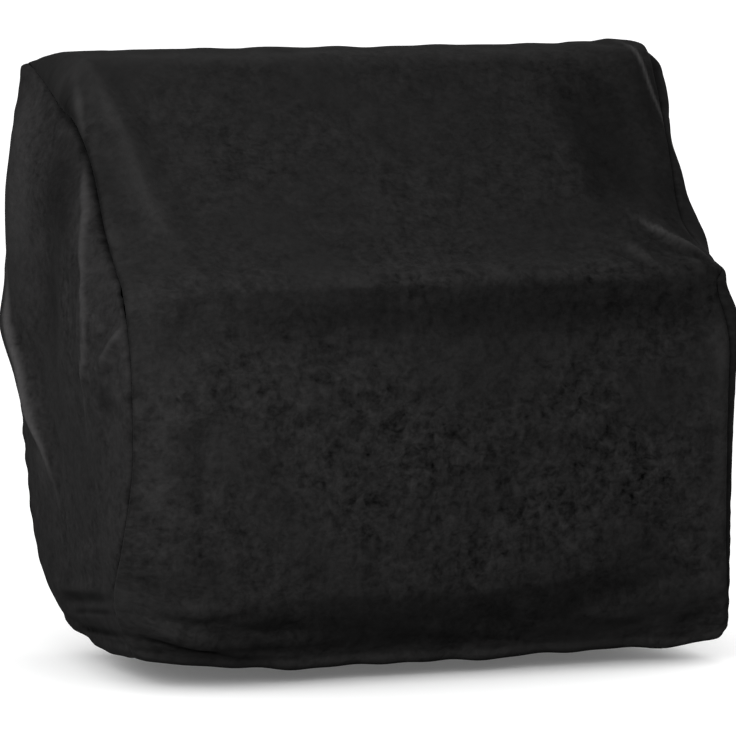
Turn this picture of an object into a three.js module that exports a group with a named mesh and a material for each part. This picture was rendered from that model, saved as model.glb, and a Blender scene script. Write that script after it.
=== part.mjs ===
// Fitted dust cover of velvet, in the shape in which it hangs: a strip of cloth runs from the front hem up
// over the shoulder, the slope and the top and down the back, and an end panel is sewn to each side of it.
// The hem is drawn in underneath, and the cover is hollow and open below.
// Millimetres, +Z up, front towards -Y. The origin is the middle of the underside of the top.
import * as THREE from "three";

const CLOTH = 2; // thickness of the velvet with its pile
const HEM = 3.4; // thickness of the turned hem
const HEM_DEPTH = 11; // height of the turned hem
const SEAM_GAP = 0.42; // clear space between two panels along their seam
const SEAM_MITRE = 1.25; // how much longer the slanted edge of a sheet is than its thickness

const STRIP_COLOUR = 0x1b1a1a;
const LEFT_COLOUR = 0x1f1e1e; // the nap lies towards the light there
const RIGHT_COLOUR = 0x191818;
const PILE_ROUGHNESS = 0.95;

const ROWS_PER_STATION = 2; // rows of facets from each station of the strip to the next
const STRIP_COLUMNS = 24; // facets across the strip
const EDGE_CROWDING = 0.72; // share of the columns' spacing that narrows towards the seams

const TOP_STATION = 18; // the station whose underside holds the origin
const LIP_STATION = 10; // front top corner of the end panels
const NAPE_STATION = 20; // back top corner of the end panels

// The strip from the front hem to the back hem, a row for each station along it. depth and height place its
// middle line, with height above the front hem. The left and right columns place the two seams, and the reach
// is how far from a seam the strip leaves its middle line to fall away to it.
const STATION_COLUMNS = [
  "depth", "height",
  "leftX", "leftDepth", "leftHeight", "leftReach",
  "rightX", "rightDepth", "rightHeight", "rightReach",
];
const STATIONS = [
  [-92, 0, -221, -68, 11, 140, 242, -107, 9, 60], // front hem
  [-101, 12, -227, -73, 22, 110, 244, -113, 19, 46], // top of the hem's turn
  [-114, 30, -236, -76, 40, 78, 242, -117, 32, 28], // tuck under the front
  [-127, 57, -241, -82, 64, 58, 241, -119, 57, 26], // lower belly
  [-132, 99, -243, -106, 99, 40, 239, -121, 99, 24], // belly
  [-132, 154, -240, -122, 154, 28, 239, -122, 154, 24], // middle of the front
  [-129, 204, -240, -124, 203, 26, 241, -120, 204, 24], // upper front
  [-123, 235, -240, -121, 233, 26, 243, -117, 234, 24], // flare
  [-119, 257, -240, -116, 253, 30, 241, -113, 255, 26], // hollow under the shoulder
  [-118, 275, -240, -109, 270, 40, 236, -110, 272, 30], // under the lip
  [-119, 288, -240, -103, 283, 52, 236, -106, 284, 36], // lip
  [-110, 298, -239, -92, 294, 58, 244, -96, 293, 40], // shoulder
  [-88, 309, -238, -76, 304, 58, 242, -74, 301, 42], // foot of the slope
  [-55, 337, -237, -45, 331, 50, 235, -40, 326, 36], // lower slope
  [-15, 378, -236, -9, 376, 42, 239, -8, 375, 26], // middle of the slope
  [22, 419, -237, 29, 406, 32, 246, 28, 413, 24], // upper slope
  [44, 446, -239, 56, 416, 24, 249, 53, 437, 18], // brow
  [62, 455, -240, 79, 427, 20, 251, 73, 451, 16], // front of the top
  [92, 457, -241, 104, 438, 24, 252, 100, 454, 18], // middle of the top
  [120, 454, -243, 123, 446, 26, 252, 122, 451, 22], // back of the top
  [136, 437, -244, 137, 445, 26, 251, 138, 442, 24], // nape
  [143, 404, -246, 148, 414, 28, 249, 147, 408, 26], // yoke of the back
  [149, 359, -248, 154, 361, 30, 248, 152, 361, 28], // upper back
  [154, 304, -248, 157, 305, 30, 246, 155, 305, 28], // fullest part of the back
  [154, 249, -247, 154, 249, 30, 245, 154, 249, 28], // above the middle of the back
  [150, 194, -245, 148, 194, 30, 244, 149, 194, 28], // middle of the back
  [144, 139, -243, 140, 139, 30, 243, 141, 139, 28], // lower back
  [137, 89, -242, 131, 90, 30, 242, 132, 90, 28], // belly of the back
  [126, 51, -238, 116, 55, 34, 240, 119, 54, 30], // turn of the back
  [111, 25, -231, 100, 31, 40, 237, 104, 28, 34], // tuck under the back
  [94, 7, -222, 82, 13, 48, 230, 86, 9, 40], // back hem
];
const CURVE_TENSION = 0.5; // of the curves through the stations

// How far the end panels stand out beyond their seams near the front and the back, by height above the
// front hem.
const BULGE_COLUMNS = ["height", "leftFront", "leftBack", "rightFront", "rightBack"];
const BULGES = [
  [0, 0, 0, 0, 0],
  [28, 2, 1, 3, 3],
  [60, 4, 2, 4, 4],
  [95, 6, 3, 5, 6],
  [150, 9, 8, 6, 10],
  [205, 13, 16, 7, 14],
  [255, 15, 23, 8, 17],
  [280, 15, 23, 4, 18],
  [300, 15, 23, 14, 18],
  [345, 13, 23, 10, 14],
  [390, 9, 20, 4, 10],
  [430, 5, 11, 15, 15],
  [450, 2, 4, 19, 16],
  [465, 0, 0, 0, 0],
];
const LEFT_REACH = 60; // distance from a seam over which the left panel grows to its full bulge
const RIGHT_REACH = 20; // the same on the right panel
const LEFT_HEM_RISE = -6; // how much higher the hem is in the middle of the left panel than at its corners
const RIGHT_HEM_RISE = 4; // the same on the right panel

// Folds of the strip, from one point to another, across the cover and along its stations.
// A negative height is a trough.
const STRIP_FOLD_COLUMNS = ["fromX", "fromStation", "toX", "toStation", "halfWidth", "height"];
const STRIP_FOLDS = [
  [-226, 17, -176, 11.6, 26, 4.5], // left hip
  [222, 17, 222, 13.8, 16, 4], // right hip
  [230, 19.0, 234, 17, 16, 3], // right corner of the top
  [178, 15.6, 184, 13, 34, -6], // hollow of the slope, right
  [196, 12.9, 232, 11, 11, 4.5], // right shoulder wrinkle
  [162, 12.6, 186, 11.4, 10, 3.5], // second shoulder wrinkle
  [140, 12.5, 164, 11.9, 10, 2.5], // third shoulder wrinkle
  [-206, 3.6, -208, 7, 22, 3], // left front roll
  [-232, 2.3, -128, 1, 13, 4], // long gather over the left hem
  [-214, 2.9, -112, 2.4, 11, 3.5], // upper gather, left
  [214, 3.7, 96, 2.5, 24, -5], // slack sweep over the right hem
  [228, 2.9, 130, 1.9, 20, 4], // roll under the slack sweep
  [-130, 21.6, -112, 28, 36, 6], // back fold, left
  [24, 22.4, 46, 28.4, 40, 5], // back fold, middle
  [168, 21.8, 150, 27.6, 32, 6], // back fold, right
];

// Folds of the end panels, from one point to another, by depth and height. A positive height stands outwards.
const END_FOLD_COLUMNS = ["fromDepth", "fromHeight", "toDepth", "toHeight", "halfWidth", "height"];
const LEFT_FOLDS = [
  [-4, 376, -52, 288, 10, 3.5], // top of the long upright fold
  [-53, 304, -57, 198, 11, 3.5], // long upright fold
  [130, 286, 50, 140, 18, 9], // fold from the back corner
  [-112, 266, -80, 230, 11, 3.5], // pull from the shoulder
  [50, 352, 22, 210, 42, -8], // slack between the folds
  [-94, 212, -92, 178, 22, -4], // dimple behind the front seam
  [-66, 62, 84, 44, 10, 3.4], // upper gather over the hem
  [-64, 42, 80, 26, 10, 3.2], // lower gather over the hem
];
const RIGHT_FOLDS = [
  [-30, 360, -44, 206, 24, 6], // long upright fold
  [138, 250, 56, 140, 26, 7], // fold from the back corner
  [36, 320, 16, 184, 46, -6], // slack between the folds
  [-76, 62, 74, 46, 14, 4], // gather over the hem
];
const FOLD_FADE = 0.3; // share of a fold's length over which it dies out at each end
const FOLD_TAIL = 0.2; // share of a fold's height that is left at its very ends
const FOLD_CLEAR = 16; // folds die out over this distance from a seam

const STATION_STEP = 0.05; // small step between stations, for the direction of the middle line
const SHARE_STEP = 0.004; // small step of a sheet's shares, for the direction that it faces
const MIDDLE = 0.5; // share of the way across the strip, or through the unit slab

const rowsOf = (columns, table) =>
  table.map((row) => Object.fromEntries(columns.map((name, i) => [name, row[i]])));
const stations = rowsOf(STATION_COLUMNS, STATIONS);
const bulges = rowsOf(BULGE_COLUMNS, BULGES);
const stripFolds = rowsOf(STRIP_FOLD_COLUMNS, STRIP_FOLDS);
const LAST_STATION = stations.length - 1;

const clamp01 = (value) => Math.min(1, Math.max(0, value));
const smooth = (value) => clamp01(value) ** 2 * (3 - 2 * clamp01(value));
const mix = (a, b, share) => a + (b - a) * share;

// A smooth curve through one column of the stations, read at any place between them.
function stationCurve(column) {
  const points = stations.map((station) => new THREE.Vector3(station[column], 0, 0));
  const curve = new THREE.CatmullRomCurve3(points, false, "catmullrom", CURVE_TENSION);
  return (place) => curve.getPoint(clamp01(place / LAST_STATION)).x;
}
const along = Object.fromEntries(STATION_COLUMNS.map((name) => [name, stationCurve(name)]));

// Distance along the strip's middle line from the front hem to a place between stations.
const stationDistance = [0];
for (let i = 1; i <= LAST_STATION; i++) {
  const step = Math.hypot(
    stations[i].depth - stations[i - 1].depth,
    stations[i].height - stations[i - 1].height,
  );
  stationDistance.push(stationDistance[i - 1] + step);
}
function distanceAlong(place) {
  const i = Math.min(Math.floor(place), LAST_STATION - 1);
  return mix(stationDistance[i], stationDistance[i + 1], place - i);
}

// Outward direction of the middle line at a place, square to its run from the front hem to the back hem.
function outwards(place) {
  const before = Math.max(0, place - STATION_STEP);
  const after = Math.min(LAST_STATION, place + STATION_STEP);
  const runDepth = along.depth(after) - along.depth(before);
  const runHeight = along.height(after) - along.height(before);
  return new THREE.Vector3(0, -runHeight, runDepth).normalize();
}

// Height of a fold at a point of the flat plane in which its two ends are given.
function foldHeight(across, up, from, to, halfWidth, height) {
  const line = to.clone().sub(from);
  const point = new THREE.Vector2(across, up).sub(from);
  const share = clamp01(point.dot(line) / line.lengthSq());
  const away = point.distanceTo(line.multiplyScalar(share)) / halfWidth;
  const bell = away < 1 ? (1 - away ** 2) ** 2 : 0;
  const fade = smooth(share / FOLD_FADE) * smooth((1 - share) / FOLD_FADE);
  return height * bell * mix(fade, 1, FOLD_TAIL);
}

// Share of the fall to a seam: nothing at the reach and the whole at the seam.
const fallAway = (distance, reach) => clamp01(1 - distance / reach) ** 2;

// Point of the strip's outer face at a place along the stations, and a share of the way from left to right.
function stripPoint(share, place) {
  const x = mix(along.leftX(place), along.rightX(place), share);
  const fromLeft = x - along.leftX(place);
  const fromRight = along.rightX(place) - x;
  const fallLeft = fallAway(fromLeft, along.leftReach(place));
  const fallRight = fallAway(fromRight, along.rightReach(place));
  const depth = along.depth(place);
  const height = along.height(place);
  const point = new THREE.Vector3(
    x,
    depth + fallLeft * (along.leftDepth(place) - depth) + fallRight * (along.rightDepth(place) - depth),
    height + fallLeft * (along.leftHeight(place) - height) + fallRight * (along.rightHeight(place) - height),
  );
  const up = distanceAlong(place);
  let lift = 0;
  for (const fold of stripFolds) {
    const from = new THREE.Vector2(fold.fromX, distanceAlong(fold.fromStation));
    const to = new THREE.Vector2(fold.toX, distanceAlong(fold.toStation));
    lift += foldHeight(x, up, from, to, fold.halfWidth, fold.height);
  }
  lift *= smooth(fromLeft / FOLD_CLEAR) * smooth(fromRight / FOLD_CLEAR);
  return point.addScaledVector(outwards(place), lift);
}

// How far an end panel stands out at a height, by one column of the bulges.
function bulgeAt(height, side) {
  const next = bulges.findIndex((bulge) => bulge.height >= height);
  if (next < 1) return 0;
  const below = bulges[next - 1];
  const above = bulges[next];
  return mix(below[side], above[side], smooth((height - below.height) / (above.height - below.height)));
}

// The two end panels: their share across the strip, the way they face, and their own shape.
const leftEnd = {
  share: 0,
  facing: -1,
  front: "leftFront",
  back: "leftBack",
  reach: LEFT_REACH,
  hemRise: LEFT_HEM_RISE,
  folds: rowsOf(END_FOLD_COLUMNS, LEFT_FOLDS),
};
const rightEnd = {
  share: 1,
  facing: 1,
  front: "rightFront",
  back: "rightBack",
  reach: RIGHT_REACH,
  hemRise: RIGHT_HEM_RISE,
  folds: rowsOf(END_FOLD_COLUMNS, RIGHT_FOLDS),
};

// Point of an end panel's outer face: a patch stretched between its seam and its hem, which then bulges and
// folds. run goes from the front seam to the back seam, and rise from the hem to the slope and top.
function endPoint(end, run, rise) {
  const front = (r) => stripPoint(end.share, r * LIP_STATION);
  const back = (r) => stripPoint(end.share, mix(LAST_STATION, NAPE_STATION, r));
  const top = (r) => stripPoint(end.share, mix(LIP_STATION, NAPE_STATION, r));
  const hem = (r) => {
    const point = front(0).lerp(back(0), r);
    point.z += end.hemRise * Math.sin(Math.PI * r);
    return point;
  };
  const sides = front(rise).lerp(back(rise), run);
  const ends = hem(run).lerp(top(run), rise);
  const corners = hem(0).lerp(hem(1), run).lerp(top(0).lerp(top(1), run), rise);
  const point = sides.add(ends).sub(corners);

  const fromSeams = [front(rise), back(rise), top(run)].map((seam) => point.distanceTo(seam));
  let standOut = mix(bulgeAt(point.z, end.front), bulgeAt(point.z, end.back), smooth(run));
  for (const distance of fromSeams) {
    standOut *= Math.sin((Math.PI / 2) * clamp01(distance / end.reach));
  }
  let lift = 0;
  for (const fold of end.folds) {
    const from = new THREE.Vector2(fold.fromDepth, fold.fromHeight);
    const to = new THREE.Vector2(fold.toDepth, fold.toHeight);
    lift += foldHeight(point.y, point.z, from, to, fold.halfWidth, fold.height);
  }
  lift *= smooth(Math.min(...fromSeams) / FOLD_CLEAR);
  point.x += end.facing * (standOut + lift);
  return point;
}

// Direction that a surface faces at two shares, by small steps that stay on it.
function faceDirection(surface, a, b) {
  const spanA = surface(Math.min(1, a + SHARE_STEP), b).sub(surface(Math.max(0, a - SHARE_STEP), b));
  const spanB = surface(a, Math.min(1, b + SHARE_STEP)).sub(surface(a, Math.max(0, b - SHARE_STEP)));
  return spanA.cross(spanB).normalize();
}

// Into the seam from outside, halfway between the strip and its end panel, and out of it towards the strip.
function seamFrame(share, place) {
  const towardsMiddle = new THREE.Vector3(share === 0 ? 1 : -1, 0, 0);
  const out = outwards(place);
  return {
    into: towardsMiddle.clone().sub(out).normalize(),
    towardsStrip: towardsMiddle.clone().add(out).normalize(),
  };
}

// A point on a seam, moved off it to the panel's own side, and slanted inwards for the inner face.
function seamPoint(point, frame, side, thickness, inner) {
  point.addScaledVector(frame.towardsStrip, (side * SEAM_GAP) / 2);
  return inner ? point.addScaledVector(frame.into, thickness * SEAM_MITRE) : point;
}

// A sheet with thickness: a unit slab of facets whose two faces are laid along a surface.
// place(a, b, inner) gives the point of the outer or the inner face at two shares from 0 to 1.
function sheet(columns, rows, place) {
  const slab = new THREE.BoxGeometry(1, 1, 1, columns, rows, 1);
  const corner = slab.getAttribute("position");
  for (let i = 0; i < corner.count; i++) {
    const point = place(corner.getX(i) + MIDDLE, corner.getY(i) + MIDDLE, corner.getZ(i) < 0);
    corner.setXYZ(i, point.x, point.y, point.z);
  }
  slab.deleteAttribute("uv");
  slab.computeVertexNormals();
  return slab;
}

const thicknessAt = (distanceFromHem) => (distanceFromHem < HEM_DEPTH ? HEM : CLOTH);

function stripGeometry() {
  const crowd = (a) => mix(a, (1 - Math.cos(Math.PI * a)) / 2, EDGE_CROWDING);
  const surface = (a, b) => stripPoint(crowd(a), b * LAST_STATION);
  const length = stationDistance[LAST_STATION];
  return sheet(STRIP_COLUMNS, LAST_STATION * ROWS_PER_STATION, (a, b, inner) => {
    const place = b * LAST_STATION;
    const thickness = thicknessAt(Math.min(distanceAlong(place), length - distanceAlong(place)));
    const point = surface(a, b);
    if (a === 0 || a === 1) return seamPoint(point, seamFrame(a, place), 1, thickness, inner);
    return inner ? point.addScaledVector(faceDirection(surface, a, b), -thickness) : point;
  });
}

function endGeometry(end) {
  const columns = (NAPE_STATION - LIP_STATION) * ROWS_PER_STATION;
  const rows = LIP_STATION * ROWS_PER_STATION;
  // The slab's first share runs forwards on the left and backwards on the right, so that both face out.
  const runOf = (a) => (end.facing < 0 ? 1 - a : a);
  const surface = (a, b) => endPoint(end, runOf(a), b);
  // The place on the seam that an edge of the panel is sewn to, or null away from the seam.
  const seamPlace = (run, rise) => {
    if (run === 0) return rise * LIP_STATION;
    if (run === 1) return mix(LAST_STATION, NAPE_STATION, rise);
    return rise === 1 ? mix(LIP_STATION, NAPE_STATION, run) : null;
  };
  return sheet(columns, rows, (a, b, inner) => {
    const point = surface(a, b);
    const thickness = thicknessAt(b * stationDistance[LIP_STATION]);
    const place = seamPlace(runOf(a), b);
    if (place !== null) return seamPoint(point, seamFrame(end.share, place), -1, thickness, inner);
    return inner ? point.addScaledVector(faceDirection(surface, a, b), -thickness) : point;
  });
}

const velvet = (colour) =>
  new THREE.MeshStandardMaterial({ color: colour, roughness: PILE_ROUGHNESS, metalness: 0 });
const panels = [
  ["main_panel", stripGeometry(), velvet(STRIP_COLOUR)],
  ["left_end_panel", endGeometry(leftEnd), velvet(LEFT_COLOUR)],
  ["right_end_panel", endGeometry(rightEnd), velvet(RIGHT_COLOUR)],
];

const cover = new THREE.Group();
const topMiddle = stripPoint(MIDDLE, TOP_STATION);
for (const [name, geometry, material] of panels) {
  const panel = new THREE.Mesh(geometry, material);
  panel.name = name;
  panel.position.set(0, -topMiddle.y, CLOTH - topMiddle.z);
  cover.add(panel);
}

export default cover;
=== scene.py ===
import math

import bpy
import numpy as np
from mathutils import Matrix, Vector


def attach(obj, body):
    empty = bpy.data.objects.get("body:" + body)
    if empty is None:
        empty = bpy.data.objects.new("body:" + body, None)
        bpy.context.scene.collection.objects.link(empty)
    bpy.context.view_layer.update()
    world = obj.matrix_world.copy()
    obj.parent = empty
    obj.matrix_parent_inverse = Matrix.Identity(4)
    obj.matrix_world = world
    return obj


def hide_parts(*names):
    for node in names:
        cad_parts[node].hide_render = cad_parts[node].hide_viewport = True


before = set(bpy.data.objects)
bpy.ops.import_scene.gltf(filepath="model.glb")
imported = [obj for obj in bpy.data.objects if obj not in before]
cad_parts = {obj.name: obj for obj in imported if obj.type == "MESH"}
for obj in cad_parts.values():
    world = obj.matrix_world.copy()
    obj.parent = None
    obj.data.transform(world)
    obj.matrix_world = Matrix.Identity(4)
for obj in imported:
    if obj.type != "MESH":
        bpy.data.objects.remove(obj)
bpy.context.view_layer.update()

# Main panel
# One strip of black short-pile velvet, cut in one length: up the front, over the shoulder, the slope and the
# top, and down the back. Its two ends are turned up as hems, and its long edges are sewn to the end panels.
# All sizes of the cloth are in millimetres, with height above the front hem and depth growing to the back.
MM = 0.001
CLOTH = 2.0  # thickness of the velvet with its pile
HEM = 3.4  # thickness of the turned hem
HEM_DEPTH = 11.0  # height of the turned hem
TOP_STATION = 18  # the station whose underside holds the origin
# The strip from hem to hem: depth and height of its middle line, then the place of each seam, and the reach
# over which the cloth falls away to it.
STATION_COLUMNS = [
    "depth", "height",
    "left_x", "left_depth", "left_height", "left_reach",
    "right_x", "right_depth", "right_height", "right_reach",
]
STATIONS = [
    [-92, 0, -221, -68, 11, 140, 242, -107, 9, 60],  # front hem
    [-101, 12, -227, -73, 22, 110, 244, -113, 19, 46],  # top of the hem's turn
    [-114, 30, -236, -76, 40, 78, 242, -117, 32, 28],  # tuck under the front
    [-127, 57, -241, -82, 64, 58, 241, -119, 57, 26],  # lower belly
    [-132, 99, -243, -106, 99, 40, 239, -121, 99, 24],  # belly
    [-132, 154, -240, -122, 154, 28, 239, -122, 154, 24],  # middle of the front
    [-129, 204, -240, -124, 203, 26, 241, -120, 204, 24],  # upper front
    [-123, 235, -240, -121, 233, 26, 243, -117, 234, 24],  # flare
    [-119, 257, -240, -116, 253, 30, 241, -113, 255, 26],  # hollow under the shoulder
    [-118, 275, -240, -109, 270, 40, 236, -110, 272, 30],  # under the lip
    [-119, 288, -240, -103, 283, 52, 236, -106, 284, 36],  # lip
    [-110, 298, -239, -92, 294, 58, 244, -96, 293, 40],  # shoulder
    [-88, 309, -238, -76, 304, 58, 242, -74, 301, 42],  # foot of the slope
    [-55, 337, -237, -45, 331, 50, 235, -40, 326, 36],  # lower slope
    [-15, 378, -236, -9, 376, 42, 239, -8, 375, 26],  # middle of the slope
    [22, 419, -237, 29, 406, 32, 246, 28, 413, 24],  # upper slope
    [44, 446, -239, 56, 416, 24, 249, 53, 437, 18],  # brow
    [62, 455, -240, 79, 427, 20, 251, 73, 451, 16],  # front of the top
    [92, 457, -241, 104, 438, 24, 252, 100, 454, 18],  # middle of the top
    [120, 454, -243, 123, 446, 26, 252, 122, 451, 22],  # back of the top
    [136, 437, -244, 137, 445, 26, 251, 138, 442, 24],  # nape
    [143, 404, -246, 148, 414, 28, 249, 147, 408, 26],  # yoke of the back
    [149, 359, -248, 154, 361, 30, 248, 152, 361, 28],  # upper back
    [154, 304, -248, 157, 305, 30, 246, 155, 305, 28],  # fullest part of the back
    [154, 249, -247, 154, 249, 30, 245, 154, 249, 28],  # above the middle of the back
    [150, 194, -245, 148, 194, 30, 244, 149, 194, 28],  # middle of the back
    [144, 139, -243, 140, 139, 30, 243, 141, 139, 28],  # lower back
    [137, 89, -242, 131, 90, 30, 242, 132, 90, 28],  # belly of the back
    [126, 51, -238, 116, 55, 34, 240, 119, 54, 30],  # turn of the back
    [111, 25, -231, 100, 31, 40, 237, 104, 28, 34],  # tuck under the back
    [94, 7, -222, 82, 13, 48, 230, 86, 9, 40],  # back hem
]
# The main folds: a line of two or more points, each by x and station, then half width, and height, which is
# below 0 for a trough.
STRIP_FOLDS = [
    [-226, 17, -176, 11.6, 26, 4.5],  # left hip
    [222, 17, 222, 13.8, 16, 4],  # right hip
    [230, 19.0, 234, 17, 16, 3],  # right corner of the top
    [178, 15.6, 184, 13, 34, -6],  # hollow of the slope, right
    [196, 12.9, 232, 11, 11, 4.5],  # right shoulder wrinkle
    [162, 12.6, 186, 11.4, 10, 3.5],  # second shoulder wrinkle
    [140, 12.5, 164, 11.9, 10, 2.5],  # third shoulder wrinkle
    [-206, 3.6, -208, 7, 22, 3],  # left front roll
    [-232, 2.3, -128, 1, 13, 4],  # long gather over the left hem
    [-214, 2.9, -112, 2.4, 11, 3.5],  # upper gather, left
    [214, 3.7, 96, 2.5, 24, -5],  # slack sweep over the right hem
    [228, 2.9, 130, 1.9, 20, 4],  # roll under the slack sweep
    [-130, 21.6, -112, 28, 36, 6],  # back fold, left
    [24, 22.4, 46, 28.4, 40, 5],  # back fold, middle
    [168, 21.8, 150, 27.6, 32, 6],  # back fold, right
]
# Finer creases of the same cloth, in the same columns.
STRIP_CREASES = [
    [188, 12.8, 208, 12.25, 221, 12.0, 228, 11.6, 238, 10.9, 4.5, 2.2],  # crest of the right shoulder wrinkle
    [200, 12.0, 214, 11.7, 226, 11.2, 238, 10.5, 5, -2.0],  # line under the right shoulder wrinkle
    [214, 12.9, 236, 12.4, 4, 1.4],  # small pleat over it
    [146, 12.4, 165, 12.1, 176, 11.7, 183, 11.1, 188, 10.4, 6, 1.8],  # crest of the second wrinkle
    [148, 12.0, 166, 11.6, 175, 10.9, 6, -1.2],  # line under the second wrinkle
    [230, 17.2, 232, 16.2, 235, 15.3, 240, 14.7, 3.5, 1.6],  # crest of the right hip
    [190, 18.6, 218, 18.0, 26, 1.4],  # rise of the top to its right corner
    [-224, 17.1, -215, 15.4, -204, 14.2, -200, 13.2, -179, 12.2, 8, 1.4],  # crest of the left hip
    [-230, 1.6, -208, 1.5, -188, 1.4, -150, 1.1, 5, -2.0],  # line under the long gather, left
    [-218, 2.5, -190, 2.5, -140, 2.8, 6, -1.8],  # line over the upper gather, left
    [-208, 1.0, -160, 1.5, -110, 1.3, 5, -1.6],  # line over the hem, left
    [-150, 1.9, -60, 1.6, 8, 1.6],  # gather over the hem, left of the middle
    [-40, 2.1, 70, 1.5, 9, 1.5],  # gather over the hem, middle
    [70, 2.5, 190, 1.7, 10, 1.8],  # gather over the hem, right
    [150, 4.4, 226, 3.2, 16, -2.2],  # slack over the right corner
]
# Painted light and shade along soft bands of the cloth, in the same columns: the last is how much lighter the
# colour is painted, above 0 for painted highlights where the cloth faces the light and below 0 for painted
# shade.
STRIP_PAINTED_SHADING = [
    [-190, 9.75, 280, 9.75, 7, -0.1],  # painted shade under the lip
    [-200, 9.0, 280, 9.0, 20, -0.09],  # painted shade below it
    [-200, 8.2, 280, 8.2, 24, -0.16],  # painted shade in the hollow under the shoulder
    [40, 8.9, 300, 8.8, 30, -0.05],  # the same hollow to the right
    [-200, 11.2, 220, 11.2, 24, 0.11],  # painted highlight on the shoulder
    [-300, 16.7, 300, 16.6, 18, 0.32],  # painted sheen along the edge of the top
    [192, 16.2, 189, 14.3, 181, 12.7, 50, -0.23],  # hollow of the slope, right
    [222, 17.0, 224, 14.2, 14, -0.1],  # beside the crest of the right hip
    [229, 17.6, 232, 16.2, 235, 15.3, 240, 14.7, 242, 13.8, 2.8, 1.7],  # crest of the right hip
    [182, 12.9, 208, 12.25, 221, 12.0, 228, 11.6, 244, 10.6, 4, 0.85],  # crest of the right shoulder wrinkle
    [196, 12.1, 214, 11.7, 226, 11.2, 240, 10.4, 7, -0.2],  # under the right shoulder wrinkle
    [142, 12.5, 165, 12.1, 176, 11.7, 184, 11.0, 189, 10.2, 5, 0.26],  # crest of the second wrinkle
    [148, 12.0, 166, 11.6, 176, 10.8, 7, -0.12],  # under the second wrinkle
    [-226, 17.4, -215, 15.4, -204, 14.2, -200, 13.2, -176, 12.0, 12, 0.16],  # crest of the left hip
    [-234, 14.4, -214, 12.4, 14, -0.08],  # behind the left hip
    [-229, 16.2, -231, 15.2, -237, 14.3, 4, 0.44],  # end of the long fold of the left panel
    [-150, 2.4, -26, 2.1, 30, 2.15, 85, 2.4, 150, 2.85, 31, -0.22],  # tuck under the front
    [-184, 2.55, -155, 2.35, -124, 1.85, 4, 0.2],  # light streak across its start
    [-60, 6.4, 300, 6.0, 120, -0.035],  # middle and right of the front
    [-206, 2.6, -147, 2.55, -90, 2.3, 14, -0.17],  # start of the tuck
    [110, 2.7, 172, 3.1, 204, 3.3, 232, 3.5, 14, -0.17],  # end of the tuck
    [-206, 2.65, -147, 2.8, -90, 2.9, 30, 2.9, 85, 3.0, 133, 3.2, 190, 3.4, 8, -0.1],  # tuck's upper edge
    [146, 1.65, 182, 1.95, 204, 2.4, 222, 2.9, 244, 3.4, 18, 0.34],  # roll under the slack sweep
    [84, 2.5, 130, 2.55, 176, 2.7, 20, -0.09],  # slack beside the roll
    [196, 1.75, 218, 1.9, 236, 2.1, 7, -0.16],  # line under the roll
    [110, 1.3, 200, 1.4, 14, 0.14],  # gather over the hem, right
    [234, 7.6, 238, 2.6, 64, 0.17],  # right of the front
    [-250, 3.2, -222, 2.7, -192, 2.3, 26, 0.16],  # rounded lower left corner
    [-236, 1.6, -208, 1.5, -188, 1.4, -140, 1.05, 5, -0.42],  # line under the long gather, left
    [-212, 1.0, -160, 1.5, -100, 1.3, 6, -0.16],  # line over the hem, left
    [-260, 0.5, 300, 0.6, 14, 0.3],  # hem
    [240, 11, 240, 2, 24, 0.44],  # right edge
    [-210, 9.0, -225, 3.6, 60, 0.05],  # left of the front
]
FOLD_FADE = 0.3  # share of a fold's length over which it dies out at each end
FOLD_TAIL = 0.2  # share of a fold's height that is left at its very ends
FOLD_CLEAR = 16.0  # folds die out over this distance from a seam
STATION_STEP = 0.05  # small step between stations, for the direction of the middle line

station = dict(zip(STATION_COLUMNS, np.array(STATIONS, float).T))
LAST_STATION = len(STATIONS) - 1
station_distance = np.concatenate(
    ([0.0], np.cumsum(np.hypot(np.diff(station["depth"]), np.diff(station["height"]))))
)


def clamp01(value):
    """A value held between 0 and 1."""
    return np.clip(value, 0.0, 1.0)


def smooth(value):
    """Smooth step: three times the square less twice the cube, of a value held between 0 and 1."""
    held = clamp01(value)
    return held**2 * (3 - 2 * held)


def mix(a, b, share):
    """Straight line from a to b."""
    return a + (b - a) * share


def along(column, place):
    """Cubic curve through one column of the stations: at each station its slope is half the step from the
    station before to the station after, and past either end the column goes on in a straight line."""
    values = station[column]
    ends = np.concatenate(([2 * values[0] - values[1]], values, [2 * values[-1] - values[-2]]))
    i = np.clip(np.floor(place).astype(int), 0, LAST_STATION - 1)
    t = place - i
    before, start, stop, after = ends[i], ends[i + 1], ends[i + 2], ends[i + 3]
    return (
        start
        + (stop - before) / 2 * t
        + (2 * before - 5 * start + 4 * stop - after) / 2 * t**2
        + (3 * start - before - 3 * stop + after) / 2 * t**3
    )


def distance_along(place):
    """Distance from the front hem along the middle line, by straight steps from station to station."""
    return np.interp(place, np.arange(LAST_STATION + 1), station_distance)


def outwards(place):
    """Outward direction of the middle line: its run, turned by a quarter turn, at length 1."""
    before = np.maximum(0, place - STATION_STEP)
    after = np.minimum(LAST_STATION, place + STATION_STEP)
    run_depth = along("depth", after) - along("depth", before)
    run_height = along("height", after) - along("height", before)
    length = np.hypot(run_depth, run_height)
    return np.stack([np.zeros_like(length), -run_height / length, run_depth / length], -1)


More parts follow.
